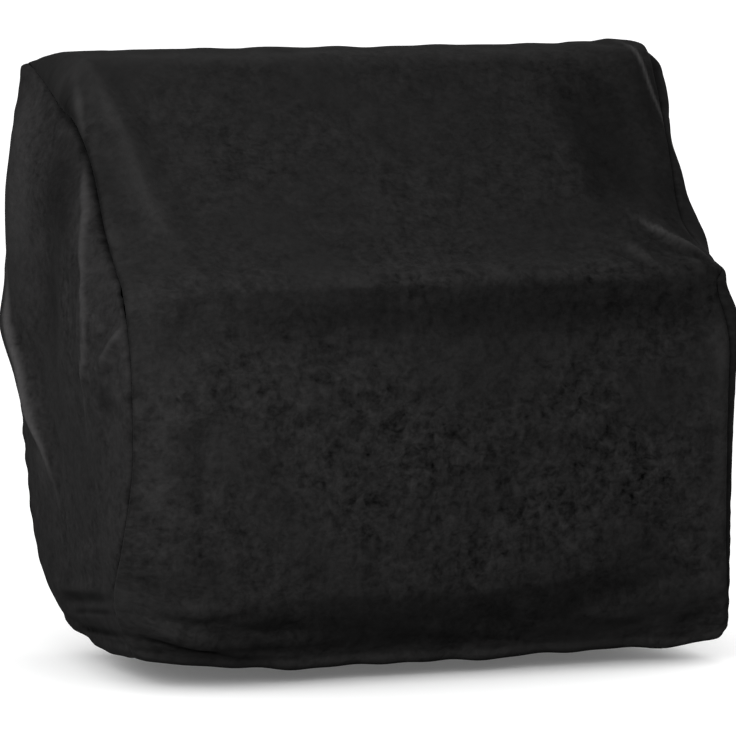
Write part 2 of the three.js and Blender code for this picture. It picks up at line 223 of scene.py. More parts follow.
def fold_lift(across, up, folds):
    """Sum of the folds: each is its height times a bell of the distance to its line, (1 - square) squared,
    which dies out towards both ends of the line."""
    lift = np.zeros(np.broadcast(across, up).shape)
    for *line, half_width, height in folds:
        points = np.reshape(line, (-1, 2))
        run = np.concatenate(([0.0], np.cumsum(np.hypot(*np.diff(points, axis=0).T))))
        nearest = np.full(lift.shape, np.inf)
        share = np.zeros(lift.shape)
        for (from_across, from_up), step, start in zip(points, np.diff(points, axis=0), run):
            length = np.hypot(*step)
            dot = (across - from_across) * step[0] + (up - from_up) * step[1]
            part = clamp01(dot / length**2)
            away = np.hypot(across - from_across - part * step[0], up - from_up - part * step[1])
            share = np.where(away < nearest, (start + part * length) / run[-1], share)
            nearest = np.minimum(nearest, away)
        bell = (1 - np.minimum(1, nearest / half_width) ** 2) ** 2
        fade = smooth(share / FOLD_FADE) * smooth((1 - share) / FOLD_FADE)
        lift += height * bell * mix(fade, 1, FOLD_TAIL)
    return lift


def by_distance(folds):
    """The same folds with the station of each point given as a distance along the strip."""
    rows = []
    for *line, half_width, height in folds:
        points = np.reshape(line, (-1, 2))
        points = np.stack([points[:, 0], distance_along(points[:, 1])], -1)
        rows.append([*points.ravel(), half_width, height])
    return rows


def fall_away(distance, reach):
    """Share of the fall to a seam: the square of what is left of the reach."""
    return clamp01(1 - distance / reach) ** 2


def strip_surface(share, place):
    """Outer face of the strip. Across it runs straight from seam to seam, along it follows the middle line,
    near a seam it falls away to the seam's own line, and the folds lift it along its outward direction."""
    left_x, right_x = along("left_x", place), along("right_x", place)
    x = mix(left_x, right_x, share)
    fall_left = fall_away(x - left_x, along("left_reach", place))
    fall_right = fall_away(right_x - x, along("right_reach", place))
    middle = np.stack([x, *(np.broadcast_to(along(c, place), x.shape) for c in ("depth", "height"))], -1)
    point = middle.copy()
    for i, c in ((1, "depth"), (2, "height")):
        point[..., i] += fall_left * (along("left_" + c, place) - middle[..., i])
        point[..., i] += fall_right * (along("right_" + c, place) - middle[..., i])
    clear = smooth((x - left_x) / FOLD_CLEAR) * smooth((right_x - x) / FOLD_CLEAR)
    lift = fold_lift(x, distance_along(place), by_distance(STRIP_FOLDS + STRIP_CREASES)) * clear
    return point + outwards(place) * lift[..., None]


# The seam: both cloths turn inwards to it and stand a little proud beside it, drawn up by the thread.
SEAM_DEPTH = 3.2  # how deep it lies
SEAM_TURN = 4.5  # distance over which a cloth turns in to its seam
SEAM_PUFF = 0.9  # how far a cloth stands proud beside it
SEAM_PUFF_AT = 7.0  # distance from the seam at which it does most
SEAM_PUFF_WIDTH = 7.0
SWELL = 0.4  # share by which the puff comes and goes
SWELL_SHORTEST, SWELL_LONGEST = 60.0, 160.0
PUCKER = 0.45  # height of the small puckers beside a seam
PUCKER_SHORTEST, PUCKER_LONGEST = 9.0, 24.0
PUCKER_REACH = 22.0  # distance from the seam at which they have died out
# How deep the seams lie, how proud the cloth stands beside them and how much painted shade lies along them,
# along the stations and as shares of the sizes above and below.
SEAM_COLUMNS = [
    "station",
    "left_depth", "left_puff", "left_shade",
    "right_depth", "right_puff", "right_shade",
]
SEAMS = [
    [0, 0.2, 0.2, 0.0, 0.4, 0.6, 0.3],
    [2.5, 0.2, 0.2, 0.0, 0.5, 0.8, 0.3],
    [4, 0.8, 0.6, 0.4, 0.8, 1.0, 0.3],
    [8, 1.0, 0.9, 0.5, 0.7, 1.0, 0.2],
    [10, 1.1, 1.0, 0.5, 0.3, 0.5, 0.0],
    [12, 1.2, 0.9, 0.8, 0.5, 0.6, 0.0],
    [13, 1.4, 0.9, 1.0, 1.0, 1.4, 0.0],
    [15.4, 1.7, 1.0, 1.0, 1.0, 2.2, 0.0],
    [16.8, 1.2, 0.8, 0.4, 1.0, 2.2, 0.0],
    [18, 1.0, 1.0, 0.2, 1.0, 1.2, 0.3],
    [30, 1.0, 1.0, 0.3, 1.0, 1.0, 0.3],
]
SEAM_SHADE = 0.45  # how much painted shade darkens the cloth along a seam's groove
SEAM_SHADE_WIDTH = 7.0
SHADE_WAVER = 0.3  # share by which that width comes and goes
SHADE_LEAST = 0.3  # share of it that stays
SHADE_SHORTEST, SHADE_LONGEST = 12.0, 50.0
seam_share = dict(zip(SEAM_COLUMNS, np.array(SEAMS, float).T))
RIPPLE_WAVES = 14  # number of waves in each unevenness


def ripples(u, v, seed, shortest, longest):
    """Soft unevenness: the sum of many sine waves of seeded direction, phase and length, divided by the
    square root of half their number."""
    draw = np.random.default_rng(seed)
    total = np.zeros(np.broadcast(u, v).shape)
    for length, turn, phase in zip(
        draw.uniform(shortest, longest, RIPPLE_WAVES),
        draw.uniform(0, math.pi, RIPPLE_WAVES),
        draw.uniform(0, 2 * math.pi, RIPPLE_WAVES),
    ):
        total += np.sin(2 * math.pi / length * (u * math.cos(turn) + v * math.sin(turn)) + phase)
    return total / math.sqrt(RIPPLE_WAVES / 2)


def waver(run, seed, shortest, longest):
    """The same unevenness along a line only."""
    return ripples(run, np.zeros_like(run), seed, shortest, longest)


def share_of_seam(column, place):
    """One column of the seams' shares, in straight lines from row to row."""
    return np.interp(place, seam_share["station"], seam_share[column])


def seam_turn(distance, side, place):
    """How far a cloth has turned in to its seam: the square of what is left of the turn."""
    return SEAM_DEPTH * share_of_seam(side + "_depth", place) * clamp01(1 - distance / SEAM_TURN) ** 2


def seam_puff(distance, run, seed, side, place):
    """How far a cloth stands proud beside its seam: a bell of the distance, with puckers along the run. Both
    are nothing at the seam itself."""
    bell = np.exp(-(((distance - SEAM_PUFF_AT) / SEAM_PUFF_WIDTH) ** 2))
    swell = 1 + SWELL * waver(run, seed + 1, SWELL_SHORTEST, SWELL_LONGEST)
    pucker = PUCKER * waver(run, seed, PUCKER_SHORTEST, PUCKER_LONGEST)
    pucker = pucker * clamp01(1 - distance / PUCKER_REACH) ** 2
    proud = SEAM_PUFF * bell * swell * share_of_seam(side + "_puff", place)
    return (proud + pucker) * smooth(distance / SEAM_TURN)


def seam_painted_shade(distance, run, seed, side, place):
    """Painted shade beside a seam: darkest at the seam's groove, by the square of what is left of a
    width that comes and goes along the run."""
    swell = 1 + SHADE_WAVER * waver(run, seed, SHADE_SHORTEST, SHADE_LONGEST)
    width = SEAM_SHADE_WIDTH * np.maximum(SHADE_LEAST, swell)
    near = clamp01(1 - distance / width) ** 2
    return -SEAM_SHADE * share_of_seam(side + "_shade", place) * near


def seam_into(facing, place):
    """Into the seam from outside: halfway between the inward side of the strip and its side's way in."""
    into = -outwards(place)
    into[..., 0] -= facing
    return into / np.linalg.norm(into, axis=-1, keepdims=True)


SLACK = 0.55  # height of the soft unevenness all over the cloth
SLACK_SHORTEST, SLACK_LONGEST = 34.0, 110.0
SLACK_CLEAR = 30.0  # it grows over this distance from a seam
HEM_ROLL = 1.2  # how far the hem stands proud of the cloth above it
HEM_LINE = 0.7  # depth of the line where the hem is sewn
HEM_LINE_WIDTH = 3.0
HEM_CLEAR = 8.0  # the hem's roll starts over this distance from a seam
STITCH = 0.4  # share by which the line comes and goes
STITCH_SHORTEST, STITCH_LONGEST = 8.0, 20.0
FLUTTER = 1.0  # unevenness of the hem's edge
FLUTTER_SHORTEST, FLUTTER_LONGEST = 30.0, 90.0
FLUTTER_FADE = 25.0  # distance up the cloth over which it dies out


def hem_shape(distance, run, seed):
    """How far the cloth stands out near its hem: a soft roll of the turned hem, a groove where it is sewn,
    and flutter that dies out up the cloth."""
    roll = HEM_ROLL * np.sin(math.pi * clamp01(distance / HEM_DEPTH))
    groove = HEM_LINE * np.exp(-(((distance - HEM_DEPTH) / HEM_LINE_WIDTH) ** 2))
    stitch = 1 + STITCH * waver(run, seed, STITCH_SHORTEST, STITCH_LONGEST)
    flutter = waver(run, seed + 1, FLUTTER_SHORTEST, FLUTTER_LONGEST) * np.exp(-distance / FLUTTER_FADE)
    return roll - groove * stitch + FLUTTER * flutter


def crowd(count, share):
    """Shares from 0 to 1 that stand closer together near both ends."""
    even = np.linspace(0, 1, count)
    return mix(even, (1 - np.cos(math.pi * even)) / 2, share)


STRIP_COLUMNS = 145  # points across and along the strip
STRIP_ROWS = 331
COLUMN_CROWDING = 0.6  # share of the columns' spacing that narrows towards the seams
ROW_CROWDING = 0.25
STRIP_SEED = 11  # each use of chance on the strip adds its own number to this

strip_length = station_distance[-1]
strip_up = crowd(STRIP_ROWS, ROW_CROWDING) * strip_length
strip_place = np.interp(strip_up, station_distance, np.arange(LAST_STATION + 1))[:, None]
strip_points = strip_surface(crowd(STRIP_COLUMNS, COLUMN_CROWDING)[None, :], strip_place)
strip_x = strip_points[..., 0]
strip_run = np.broadcast_to(strip_up[:, None], strip_x.shape)
strip_places = np.broadcast_to(strip_place, strip_x.shape)
from_left = strip_x - along("left_x", strip_place)
from_right = along("right_x", strip_place) - strip_x
from_hem = np.minimum(strip_run, strip_length - strip_run)
near_seam = np.minimum(from_left, from_right)

strip_lift = SLACK * ripples(strip_x, strip_run, STRIP_SEED, SLACK_SHORTEST, SLACK_LONGEST)
strip_lift *= smooth(near_seam / SLACK_CLEAR)
strip_lift += seam_puff(from_left, strip_run, STRIP_SEED + 2, "left", strip_places)
strip_lift += seam_puff(from_right, strip_run, STRIP_SEED + 4, "right", strip_places)
strip_lift += hem_shape(from_hem, strip_x, STRIP_SEED + 6) * smooth(near_seam / HEM_CLEAR)
strip_points += outwards(strip_place) * strip_lift[..., None]
strip_points += seam_into(-1, strip_place) * seam_turn(from_left, "left", strip_places)[..., None]
strip_points += seam_into(1, strip_place) * seam_turn(from_right, "right", strip_places)[..., None]

MIDDLE_SHARE = 0.5  # halfway between the seams
ORIGIN = strip_surface(np.array([[MIDDLE_SHARE]]), np.array([[float(TOP_STATION)]]))[0, 0] - [0, 0, CLOTH]
ORIGIN[0] = 0.0


def sew_sheet(name, points, cloth_u, cloth_v, rub, lean, in_hem):
    """A grid of points as a sheet of cloth with thickness: one face for each four neighbours, a map of the
    flat cloth in metres, how much the pile is rubbed, its painted light and shade, and the hem thicker than
    the rest."""
    rows, columns = points.shape[:2]
    corner = np.arange(rows * columns).reshape(rows, columns)
    faces = np.stack([corner[:-1, :-1], corner[:-1, 1:], corner[1:, 1:], corner[1:, :-1]], -1).reshape(-1, 4)
    mesh = bpy.data.meshes.new(name)
    mesh.from_pydata(((points - ORIGIN) * MM).reshape(-1, 3).tolist(), [], faces.tolist())
    mesh.polygons.foreach_set("use_smooth", np.ones(len(faces), bool))
    flat = np.stack([cloth_u, cloth_v], -1).reshape(-1, 2) * MM
    uv = mesh.uv_layers.new(name="cloth")
    uv.data.foreach_set("uv", flat[faces.ravel()].astype(np.float32).ravel())
    for key, values in (("rub", rub), ("lean", lean)):
        layer = mesh.attributes.new(key, "FLOAT", "POINT")
        layer.data.foreach_set("value", values.astype(np.float32).ravel())
    mesh.update()
    piece = bpy.data.objects.new(name, mesh)
    bpy.context.scene.collection.objects.link(piece)
    hem = piece.vertex_groups.new(name="hem")
    hem.add(corner[in_hem].tolist(), 1.0, "REPLACE")
    thick = piece.modifiers.new("thickness", "SOLIDIFY")
    thick.thickness = HEM * MM
    thick.offset = -1
    thick.vertex_group = "hem"
    thick.thickness_vertex_group = CLOTH / HEM
    return piece


# How much the pile of the strip is rubbed: pairs of a station and a share, and of an x and a share.
RUB_ALONG = [
    [0, 0.7], [2.5, 0.8], [4, 1.1], [5, 1.1], [7, 0.85], [8.6, 0.8],
    [11, 0.8], [12.5, 0.6], [15, 0.6], [18, 0.5], [30, 0.6],
]
RUB_ACROSS = [[-240, 0.75], [-60, 1.0], [240, 1.1]]
RUB_FADE_IN_SHADE = 2.4  # how fast the rubbing fades where the colour is darkened by painted shade
RUB_LEAST_IN_SHADE = 0.5  # share of it that stays


def rub_in_painted_shade(lean):
    """Share of the rubbing that is seen: it falls in a straight line with the painted shade."""
    return np.clip(1 + RUB_FADE_IN_SHADE * lean, RUB_LEAST_IN_SHADE, 1)


PATCHY = 0.19  # share by which the rubbing comes and goes in patches
PATCHY_SHORTEST, PATCHY_LONGEST = 60.0, 190.0
PATCHY_LEAST = 0.35  # share of it that stays


def patchy(u, v, seed):
    """Share of the rubbing in soft patches: 1 plus the unevenness of long waves."""
    return np.maximum(PATCHY_LEAST, 1 + PATCHY * ripples(u, v, seed, PATCHY_SHORTEST, PATCHY_LONGEST))


# Painted light and shade of the strip: highlights on crests and edges, shade under the lip, in hollows and in
# the tuck.
strip_painted_shading = fold_lift(strip_x, strip_run, by_distance(STRIP_PAINTED_SHADING))
strip_rub = np.interp(strip_places, *np.transpose(RUB_ALONG))
strip_rub *= np.interp(strip_x, *np.transpose(RUB_ACROSS))
strip_rub *= rub_in_painted_shade(strip_painted_shading) * patchy(strip_x, strip_run, STRIP_SEED + 10)
# Painted shade along the seams' grooves.
strip_painted_shading += seam_painted_shade(from_left, strip_run, STRIP_SEED + 8, "left", strip_places)
strip_painted_shading += seam_painted_shade(from_right, strip_run, STRIP_SEED + 9, "right", strip_places)
main_panel = sew_sheet(
    "main_panel_velvet", strip_points, strip_x, strip_run, strip_rub, strip_painted_shading, from_hem < HEM_DEPTH
)


def add_node(tree, kind, settings=(), **inputs):
    """A shader node with its settings, whose inputs are set to values or linked to sockets. An input is given
    by its name, with _ for a space, or by _ and its number."""
    node = tree.nodes.new(kind)
    for key, value in dict(settings).items():
        setattr(node, key, value)
    for key, value in inputs.items():
        socket = node.inputs[int(key[1:])] if key[1:].isdigit() else node.inputs[key.replace("_", " ")]
        if isinstance(value, bpy.types.NodeSocket):
            tree.links.new(value, socket)
        else:
            socket.default_value = value
    return node


# The nap's noises: waves in a metre, detail, roughness, distortion, how many times shorter they are upwards,
# and weight.
NAP_NOISES = [
    [66.0, 3.0, 0.75, 0.6, 1.0, 0.85],  # flakes of pressed and raised pile
    [190.0, 1.5, 0.6, 0.5, 1.0, 0.7],  # flecks
    [95.0, 1.0, 0.5, 1.2, 0.5, 0.35],  # short upright strokes
    [95.0, 1.0, 0.5, 1.2, 1.9, 0.35],  # short level strokes
]
GRAIN_NOISE = [1000.0, 1.0, 0.5, 0.0, 1.0, 0.16]  # the pile itself, which rubbing doesn't change
FLAKES = 90.0  # flakes of pile that lean one way, in a metre
FLAKE_BEND = 0.009  # how far their edges wander
FLAKE_BEND_DETAIL = 2.0
FLAKE_WEIGHT = 0.2
NOISE_MEAN = 0.5  # value that the noises lie about
UPRIGHT_LEVEL = 0.5  # level halfway between the colours of pressed and raised pile, before painted light and shade


def make_nap_group():
    """Nap of short-pile velvet: painted light and shade, plus the noises of a rubbed pile, plus a fine grain.
    That level goes in a straight line from the colour of pressed pile to that of raised pile and past it, and
    the noises give the bumps."""
    group = bpy.data.node_groups.new("velvet_nap", "ShaderNodeTree")
    for name, kind in (
        ("Cloth", "NodeSocketVector"), ("Rub", "NodeSocketFloat"), ("Lean", "NodeSocketFloat"),
        ("Pressed", "NodeSocketColor"), ("Raised", "NodeSocketColor"),
    ):
        group.interface.new_socket(name, in_out="INPUT", socket_type=kind)
    group.interface.new_socket("Colour", in_out="OUTPUT", socket_type="NodeSocketColor")
    group.interface.new_socket("Height", in_out="OUTPUT", socket_type="NodeSocketFloat")
    given = group.nodes.new("NodeGroupInput").outputs
    made = group.nodes.new("NodeGroupOutput").inputs

    def math_of(operation, a, b):
        """What a math node makes of two values."""
        return add_node(group, "ShaderNodeMath", {"operation": operation}, _0=a, _1=b).outputs[0]

    def noise(scale, detail, roughness, distortion, shorter, weight):
        """A noise about 0 on the cloth's map, drawn shorter upwards, times its weight."""
        drawn = add_node(
            group, "ShaderNodeMapping", Vector=given["Cloth"], Scale=(1.0, shorter, 1.0)
        ).outputs[0]
        value = add_node(
            group, "ShaderNodeTexNoise",
            Vector=drawn, Scale=scale, Detail=detail, Roughness=roughness, Distortion=distortion,
        ).outputs["Fac"]
        return math_of("MULTIPLY", math_of("SUBTRACT", value, NOISE_MEAN), weight)

    rubbed = noise(*NAP_NOISES[0])
    for row in NAP_NOISES[1:]:
        rubbed = math_of("ADD", rubbed, noise(*row))
    bend = add_node(
        group, "ShaderNodeTexNoise", Vector=given["Cloth"], Scale=FLAKES, Detail=FLAKE_BEND_DETAIL
    ).outputs["Color"]
    bent = add_node(
        group, "ShaderNodeVectorMath", {"operation": "MULTIPLY_ADD"},
        _0=bend, _1=(FLAKE_BEND, FLAKE_BEND, 0.0), _2=given["Cloth"],
    ).outputs[0]
    flake = add_node(
        group, "ShaderNodeTexVoronoi", {"voronoi_dimensions": "2D"}, Vector=bent, Scale=FLAKES
    ).outputs["Color"]
    flake_lean = math_of("MULTIPLY", math_of("SUBTRACT", flake, NOISE_MEAN), FLAKE_WEIGHT)
    rubbed = math_of("ADD", rubbed, flake_lean)
    fine = math_of("ADD", math_of("MULTIPLY", rubbed, given["Rub"]), noise(*GRAIN_NOISE))
    level = math_of("ADD", math_of("ADD", fine, given["Lean"]), UPRIGHT_LEVEL)
    level = math_of("MAXIMUM", level, 0.0)
    colour = add_node(
        group, "ShaderNodeMix", {"data_type": "RGBA", "clamp_factor": False},
        _0=level, _6=given["Pressed"], _7=given["Raised"],
    ).outputs[2]
    group.links.new(colour, made["Colour"])
    group.links.new(fine, made["Height"])
    return group


nap_group = make_nap_group()
VELVET_ROUGHNESS = 0.95
VELVET_SPECULAR = 0.0
SHEEN = 0.006
SHEEN_ROUGHNESS = 0.5
BUMP_HEIGHT = 0.0006  # height of the nap's bumps in metres
BUMP_STRENGTH = 0.5


def make_velvet(name, pressed, raised):
    """Short-pile velvet: a rough dark ground whose colour follows the nap and the painted light and shade,
    and whose bumps follow the nap, with a soft sheen.
    """
    material = bpy.data.materials.new(name)
    material.use_nodes = True
    tree = material.node_tree
    shader = tree.nodes["Principled BSDF"]
    cloth = add_node(tree, "ShaderNodeUVMap", {"uv_map": "cloth"}).outputs[0]
    rub = add_node(tree, "ShaderNodeAttribute", {"attribute_name": "rub"}).outputs["Fac"]
    # The painted light and shade, lighter or darker by how the cloth faces the lamps.
    lean = add_node(tree, "ShaderNodeAttribute", {"attribute_name": "lean"}).outputs["Fac"]
    nap = add_node(
        tree, "ShaderNodeGroup", {"node_tree": nap_group},
        Cloth=cloth, Rub=rub, Lean=lean, Pressed=pressed, Raised=raised,
    )
    bump = add_node(
        tree, "ShaderNodeBump", Height=nap.outputs["Height"], Distance=BUMP_HEIGHT, Strength=BUMP_STRENGTH
    )
    tree.links.new(nap.outputs["Colour"], shader.inputs["Base Color"])
    tree.links.new(bump.outputs[0], shader.inputs["Normal"])
    shader.inputs["Roughness"].default_value = VELVET_ROUGHNESS
    shader.inputs["Specular IOR Level"].default_value = VELVET_SPECULAR
    shader.inputs["Sheen Weight"].default_value = SHEEN
    shader.inputs["Sheen Roughness"].default_value = SHEEN_ROUGHNESS
    return material


STRIP_PRESSED = (0.0006, 0.0006, 0.0006, 1.0)
STRIP_RAISED = (0.0104, 0.0102, 0.0102, 1.0)
main_panel.data.materials.append(make_velvet("main_panel_velvet", STRIP_PRESSED, STRIP_RAISED))
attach(main_panel, "root")
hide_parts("main_panel")

# Left end panel
# The side of the cover, of the same velvet, cut to the profile of the strip and sewn to it along one seam
# from hem to hem. It hangs slack between the seams, so it bulges and has the longest upright folds.
LIP_STATION = 10  # station at the front top corner of an end panel
NAPE_STATION = 20  # station at its back top corner
# How far the two end panels stand out from their seams, near the front and near the back, by height.
BULGE_COLUMNS = ["height", "left_front", "left_back", "right_front", "right_back"]
BULGES = [
    [0, 0, 0, 0, 0],
    [28, 2, 1, 3, 3],
    [60, 4, 2, 4, 4],
    [95, 6, 3, 5, 6],
    [150, 9, 8, 6, 10],
    [205, 13, 16, 7, 14],
    [255, 15, 23, 8, 17],
    [280, 15, 23, 4, 18],
    [300, 15, 23, 14, 18],
    [345, 13, 23, 10, 14],
    [390, 9, 20, 4, 10],
    [430, 5, 11, 15, 15],
    [450, 2, 4, 19, 16],
    [465, 0, 0, 0, 0],
]
LEFT_REACH = 60.0  # distance from a seam over which the panel grows to its full bulge
LEFT_HEM_RISE = -6.0  # how much higher the hem is in its middle than at its corners
# The main folds: points by depth and height, then half width and height as before.
LEFT_FOLDS = [
    [-4, 376, -52, 288, 10, 3.5],  # top of the long upright fold
    [-53, 304, -57, 198, 11, 3.5],  # long upright fold
    [130, 286, 50, 140, 18, 9],  # fold from the back corner
    [-112, 266, -80, 230, 11, 3.5],  # pull from the shoulder
    [50, 352, 22, 210, 42, -8],  # slack between the folds
    [-94, 212, -92, 178, 22, -4],  # dimple behind the front seam
    [-66, 62, 84, 44, 10, 3.4],  # upper gather over the hem
    [-64, 42, 80, 26, 10, 3.2],  # lower gather over the hem
]
# Finer creases of the panel, in the same columns.
LEFT_CREASES = [
    [4, 390, -26, 345, -41, 312, -60, 276, -63, 258, -62, 239, -53, 213, -48, 190, 4, 1.6],  # long crest
    [-112, 266, -100, 247, -86, 230, 4, 1.8],  # short pull from the shoulder
    [116, 286, 98, 251, 76, 199, 52, 142, 7, 2.4],  # crest of the back fold
    [70, 39, 41, 43, -73, 58, 6, -1.8],  # line under the upper gather
    [56, 29, -5, 39, -47, 44, -80, 48, 4, -1.4],  # line over the lower gather
    [60, 16, -15, 24, -65, 29, -80, 31, 5, -1.8],  # line under the lower gather
    [-60, 86, 30, 72, 12, 1.6],  # soft gather above
    [60, 230, 20, 120, 16, -2.2],  # slack under the back fold
]
# Painted light and shade along soft bands of the panel, in the same columns: painted highlights on crests and
# the back edge, painted shade in hollows and under gathers.
LEFT_PAINTED_SHADING = [
    [8, 396, -26, 345, -41, 312, -60, 276, -63, 258, -62, 239, -53, 213, -44, 172, 3.5, 0.52],  # long crest
    [14, 372, -34, 276, -34, 216, 18, -0.1],  # beside the long fold
    [120, 300, 98, 251, 76, 199, 40, 116, 5.5, 1.2],  # crest of the back fold
    [124, 440, 98, 385, 88, 344, 86, 280, 38, 0.36],  # back edge
    [34, 410, 14, 340, 22, 275, 10, 220, 36, -0.25],  # slack between the folds
    [-116, 272, -100, 247, -84, 226, 3.5, 0.32],  # short pull from the shoulder
    [92, 200, 74, 160, 62, 110, 30, 0.34],  # lower back
    [-40, 190, -40, 84, 60, -0.06],  # lower middle
    [-90, 222, -84, 194, 14, -0.2],  # dimple behind the front seam
    [80, 38, 41, 43, -73, 58, -86, 60, 7, -0.34],  # line under the upper gather
    [70, 33, -5, 46, -70, 53, 3, 0.12],  # crest of the lower gather
    [60, 28, -5, 39, -47, 44, -90, 49, 3.5, -0.36],  # line over the lower gather
    [70, 15, -15, 24, -65, 29, -90, 32, 4.5, -0.5],  # line under the lower gather
]
bulge = dict(zip(BULGE_COLUMNS, np.array(BULGES, float).T))


def bulge_at(height, side):
    """How far an end panel stands out at a height: a smooth step from each row of the bulges to the next."""
    rows = bulge["height"]
    i = np.clip(np.searchsorted(rows, height) - 1, 0, len(rows) - 2)
    share = smooth((height - rows[i]) / (rows[i + 1] - rows[i]))
    return mix(bulge[side][i], bulge[side][i + 1], share)


def end_surface(share, facing, side, reach, hem_rise, folds, run, rise):
    """Outer face of an end panel: a patch stretched between its three seams and its hem, as the sum of the
    two ways across it less its four corners. It then bulges and folds along its own side."""
    def seam(place):
        """The edge of the strip at places given by station."""
        return strip_surface(np.full(place.shape, float(share)), place)

    front, back = seam(rise * LIP_STATION), seam(mix(LAST_STATION, NAPE_STATION, rise))
    top = seam(mix(LIP_STATION, NAPE_STATION, run))
    low_front, low_back, top_front, top_back = (
        seam(np.full_like(run, place)) for place in (0, LAST_STATION, LIP_STATION, NAPE_STATION)
    )
    low, high = mix(low_front, low_back, run[..., None]), mix(top_front, top_back, run[..., None])
    corners = mix(low, high, rise[..., None])
    hem = low.copy()
    hem[..., 2] += hem_rise * np.sin(math.pi * run)
    point = mix(front, back, run[..., None]) + mix(hem, top, rise[..., None]) - corners
    from_seams = [np.linalg.norm(point - edge, axis=-1) for edge in (front, back, top)]
    stand_out = mix(
        bulge_at(point[..., 2], side + "_front"), bulge_at(point[..., 2], side + "_back"), smooth(run)
    )
    for distance in from_seams:
        stand_out = stand_out * np.sin(math.pi / 2 * clamp01(distance / reach))
    near = np.minimum.reduce(from_seams)
    lift = fold_lift(point[..., 1], point[..., 2], folds) * smooth(near / FOLD_CLEAR)
    point[..., 0] += facing * (stand_out + lift)
    return point, from_seams


END_COLUMNS = 141  # points across and up an end panel
END_ROWS = 181
TINY = 1e-9  # keeps a direction of no length from being divided by 0


def make_end(name, share, facing, side, reach, hem_rise, folds, shading_bands, seed, rub):
    """An end panel as a sheet: its surface with soft unevenness, puckers beside its seams and a rolled hem.
    Its columns run forwards on the left and backwards on the right, so that both panels face out."""
    run, rise = np.meshgrid(crowd(END_COLUMNS, COLUMN_CROWDING), crowd(END_ROWS, COLUMN_CROWDING))
    if facing < 0:
        run = run[:, ::-1]
    points, from_seams = end_surface(share, facing, side, reach, hem_rise, folds, run, rise)
    depth, height = points[..., 1].copy(), points[..., 2].copy()
    near = np.minimum.reduce(from_seams)
    from_edge = height - height[0]
    places = (rise * LIP_STATION, mix(LAST_STATION, NAPE_STATION, rise), mix(LIP_STATION, NAPE_STATION, run))
    seams = list(zip(from_seams, places, (height, height, depth)))
    lift = SLACK * ripples(depth, height, seed, SLACK_SHORTEST, SLACK_LONGEST) * smooth(near / SLACK_CLEAR)
    for i, (distance, place, along_seam) in enumerate(seams):
        lift += seam_puff(distance, along_seam, seed + 2 + 2 * i, side, place)
    lift += hem_shape(from_edge, depth, seed + 8) * smooth(near / HEM_CLEAR)
    points[..., 0] += facing * lift
    turns = [seam_turn(distance, side, place)[..., None] for distance, place in zip(from_seams, places)]
    ways = sum(seam_into(facing, place) * turn for place, turn in zip(places, turns))
    length = np.linalg.norm(ways, axis=-1, keepdims=True)
    points += ways / np.maximum(length, TINY) * np.maximum.reduce(turns)
    # Painted light and shade of the panel, from its bands.
    lean = fold_lift(depth, height, shading_bands)
    rubbed = rub * rub_in_painted_shade(lean) * patchy(depth, height, seed + 12)
    # Painted shade along the panel's seams.
    for i, (distance, place, along_seam) in enumerate(seams):
        lean += seam_painted_shade(distance, along_seam, seed + 9 + i, side, place)
    return sew_sheet(name, points, depth, height, rubbed, lean, from_edge < HEM_DEPTH)


LEFT_RUB = 0.65  # how much the pile is rubbed
LEFT_SEED = 41
left_end = make_end(
    "left_end_velvet", share=0, facing=-1, side="left", reach=LEFT_REACH, hem_rise=LEFT_HEM_RISE,
    folds=LEFT_FOLDS + LEFT_CREASES, shading_bands=LEFT_PAINTED_SHADING, seed=LEFT_SEED, rub=LEFT_RUB,
)
# The same velvet as the strip, painted lighter: painted light on the left panel.
LEFT_PRESSED_PAINTED_LIGHTER = (0.0007, 0.0007, 0.0007, 1.0)
LEFT_RAISED_PAINTED_LIGHTER = (0.0116, 0.0113, 0.0114, 1.0)
left_end.data.materials.append(make_velvet("left_end_velvet", LEFT_PRESSED_PAINTED_LIGHTER, LEFT_RAISED_PAINTED_LIGHTER))
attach(left_end, "root")
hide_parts("left_end_panel")

# Right end panel
# The same cut of the same velvet on the other side, sewn in the same way. It hangs closer to its seams, with
# plainer and shorter folds.
RIGHT_REACH = 20.0
RIGHT_HEM_RISE = 4.0
RIGHT_FOLDS = [
    [-30, 360, -44, 206, 24, 6],  # long upright fold
    [138, 250, 56, 140, 26, 7],  # fold from the back corner
    [36, 320, 16, 184, 46, -6],  # slack between the folds
    [-76, 62, 74, 46, 14, 4],  # gather over the hem
]
RIGHT_CREASES = [
    [-36, 340, -42, 240, 8, 1.6],  # crest of the long fold
    [-66, 46, 60, 32, 7, -1.6],  # line under the gather
]
# Painted light and shade of the panel: a painted highlight on the long fold's crest, painted shade over the
# gather.
RIGHT_PAINTED_SHADING = [
    [-44, 352, -44, 232, 14, 0.08],  # crest of the long fold
    [60, 44, -60, 52, 10, -0.2],  # line over the gather
]
RIGHT_RUB = 0.65
RIGHT_SEED = 71
# The same velvet again, painted lighter still: painted light that lifts the right panel out of its shade.
RIGHT_PRESSED_PAINTED_LIGHTER = (0.0007, 0.0007, 0.0007, 1.0)
RIGHT_RAISED_PAINTED_LIGHTER = (0.0126, 0.0124, 0.0124, 1.0)
right_end = make_end(
    "right_end_velvet", share=1, facing=1, side="right", reach=RIGHT_REACH, hem_rise=RIGHT_HEM_RISE,
    folds=RIGHT_FOLDS + RIGHT_CREASES, shading_bands=RIGHT_PAINTED_SHADING, seed=RIGHT_SEED, rub=RIGHT_RUB,
)
right_end.data.materials.append(make_velvet("right_end_velvet", RIGHT_PRESSED_PAINTED_LIGHTER, RIGHT_RAISED_PAINTED_LIGHTER))
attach(right_end, "root")
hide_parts("right_end_panel")

